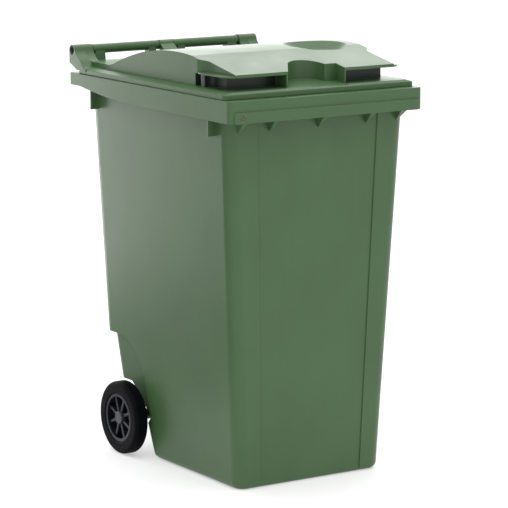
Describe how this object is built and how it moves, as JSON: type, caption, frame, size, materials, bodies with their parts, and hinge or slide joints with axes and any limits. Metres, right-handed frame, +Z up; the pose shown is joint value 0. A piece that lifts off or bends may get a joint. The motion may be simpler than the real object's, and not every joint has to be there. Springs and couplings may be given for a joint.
{
  "type": "wheeled refuse bin",
  "caption": "Two-wheeled refuse bin: a tapered moulded container with a comb-lift collar, a domed hinged lid with hand grips, and a rear handle bar.",
  "frame": {"origin": "on the ground, in the middle of the bin's width and of its overall depth", "axes": "+Z up, -Y towards the bin's front (the side with the lid's grips), +X to the right seen from the front; the wheels are at +Y"},
  "size_m": [0.598, 0.82, 1.1258],
  "materials": {
    "body_green": "satin moulded HDPE, fine grain",
    "lid_green": "satin moulded HDPE, fine grain",
    "plug_olive": "satin moulded plug",
    "pin_green": "satin moulded pin",
    "axle_steel": "zinc-plated bar",
    "washer_steel": "zinc-plated, flat",
    "ring_steel": "blackened spring steel",
    "sleeve_black": "moulded tube",
    "hub_black": "satin moulded wheel centre",
    "tyre_black": "solid rubber, fine grain",
    "cap_grey": "satin moulded cap"
  },
  "bodies": {
    "container_body": {"container": "body_green", "chip_nest_plug": "plug_olive", "axle": "axle_steel", "hinge_pin_left": "pin_green", "hinge_pin_right": "pin_green", "spacer_sleeve_left": "sleeve_black", "spacer_sleeve_right": "sleeve_black", "inner_washer_left": "washer_steel", "inner_washer_right": "washer_steel", "outer_washer_left": "washer_steel", "outer_washer_right": "washer_steel", "retaining_ring_left": "ring_steel", "retaining_ring_right": "ring_steel"},
    "lid": {"lid": "lid_green"},
    "wheel_left": {"wheel_hub_left": "hub_black", "tyre_left": "tyre_black", "hub_cap_left": "cap_grey"},
    "wheel_right": {"wheel_hub_right": "hub_black", "tyre_right": "tyre_black", "hub_cap_right": "cap_grey"}
  },
  "joints": [
    {"name": "lid_hinge", "type": "hinge", "parent": "container_body", "child": "lid", "pos_m": [0, 0.395, 1.0885], "axis": [-1, 0, 0], "range_deg": [0, 260]},
    {"name": "wheel_left_spin", "type": "hinge", "parent": "container_body", "child": "wheel_left", "pos_m": [-0.264, 0.187, 0.1], "axis": [1, 0, 0], "continuous": true},
    {"name": "wheel_right_spin", "type": "hinge", "parent": "container_body", "child": "wheel_right", "pos_m": [0.264, 0.187, 0.1], "axis": [1, 0, 0], "continuous": true}
  ]
}
